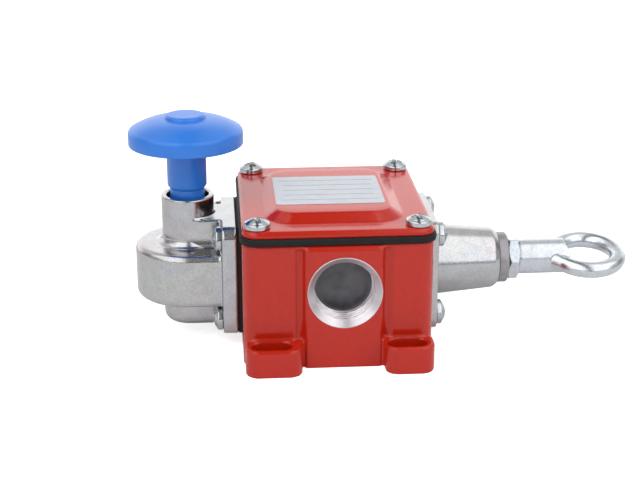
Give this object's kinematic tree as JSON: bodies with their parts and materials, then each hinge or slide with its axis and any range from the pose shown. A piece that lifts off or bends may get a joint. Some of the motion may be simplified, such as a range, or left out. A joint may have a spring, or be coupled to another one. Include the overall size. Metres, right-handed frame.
{
  "type": "rope pull switch",
  "caption": "Rope pull emergency switch: red die-cast housing with slotted feet and a cable entry, sprung pull rod with an eye for the rope, and a blue mushroom knob that resets it.",
  "frame": {"origin": "on the mounting face, under the middle of the housing", "axes": "+X along the rope towards the eye, +Y away from the cable entry, +Z from the mounting face to the cover"},
  "size_m": [0.1581, 0.0818, 0.0703],
  "materials": {
    "red_paint": "gloss powder coat on a zinc die casting",
    "passivated_zinc": "rough zinc die casting, passivated, with a faint yellow and pink sheen",
    "black_rubber": "matt black rubber",
    "screw_zinc": "bright zinc-plated steel",
    "bright_steel": "turned steel",
    "spring_steel": "drawn spring steel",
    "bronze": "bearing bronze and brass",
    "sintered_bush": "turned bush, dull taupe grey",
    "blue_zinc": "bluish bright zinc plating",
    "grey_plastic": "dark grey moulded plastic, satin",
    "black_plastic": "black moulded plastic",
    "white_plastic": "natural acetal",
    "blue_plastic": "satin blue moulded plastic"
  },
  "bodies": {
    "switch_body": {"housing": "red_paint", "cover": "red_paint", "cover_seal": "black_rubber", "cover_screws": "screw_zinc", "entry_dust_plug": "grey_plastic", "spring_housing": "passivated_zinc", "spring_housing_oring": "black_rubber", "spring_screws": "screw_zinc", "guide_bush": "sintered_bush", "rod_seal": "black_rubber", "reset_housing": "passivated_zinc", "reset_gasket": "black_rubber", "reset_screws": "screw_zinc", "rear_guide_bush": "bronze", "stem_guide_bush": "bronze", "contact_bracket": "bright_steel", "bracket_screws": "screw_zinc", "contact_block_slack": "black_plastic", "contact_block_pull": "black_plastic", "contact_block_screws": "screw_zinc", "terminal_clamps": "bronze", "terminal_screws": "screw_zinc", "earth_clamp": "bronze", "earth_screw": "screw_zinc", "rope_spring": "spring_steel", "reset_spring": "spring_steel"},
    "rod": {"pull_rod": "bright_steel", "switching_cam": "white_plastic", "cam_pin": "bright_steel", "spring_plate": "bright_steel", "spring_plate_clip": "spring_steel", "lock_nut": "blue_zinc", "rope_eye": "blue_zinc"},
    "slack_contact": {"slack_plunger": "white_plastic"},
    "pull_contact": {"pull_plunger": "white_plastic"},
    "knob": {"reset_knob": "blue_plastic", "reset_spindle": "bright_steel", "latch_washer": "bright_steel", "spindle_clip": "spring_steel", "stem_oring": "black_rubber"}
  },
  "joints": [
    {"name": "rope_pull", "type": "slide", "parent": "switch_body", "child": "rod", "axis": [1, 0, 0], "range_m": [0, 0.008], "stiffness_N_per_m": 3000, "springref_m": -0.01, "deforming": ["rope_spring"]},
    {"name": "slack_plunger_slide", "type": "slide", "parent": "switch_body", "child": "slack_contact", "axis": [0, 1, 0], "range_m": [-0.002, 0]},
    {"name": "pull_plunger_slide", "type": "slide", "parent": "switch_body", "child": "pull_contact", "axis": [0, 1, 0], "range_m": [0, 0.002]},
    {"name": "reset_pull", "type": "slide", "parent": "switch_body", "child": "knob", "axis": [0, 0, 1], "range_m": [0, 0.004], "stiffness_N_per_m": 800, "springref_m": -0.01, "deforming": ["reset_spring"]}
  ],
  "couplings": [
    {"joint": "slack_plunger_slide", "follows": "rope_pull", "ratio": -0.25},
    {"joint": "pull_plunger_slide", "follows": "rope_pull", "ratio": 0.25}
  ]
}
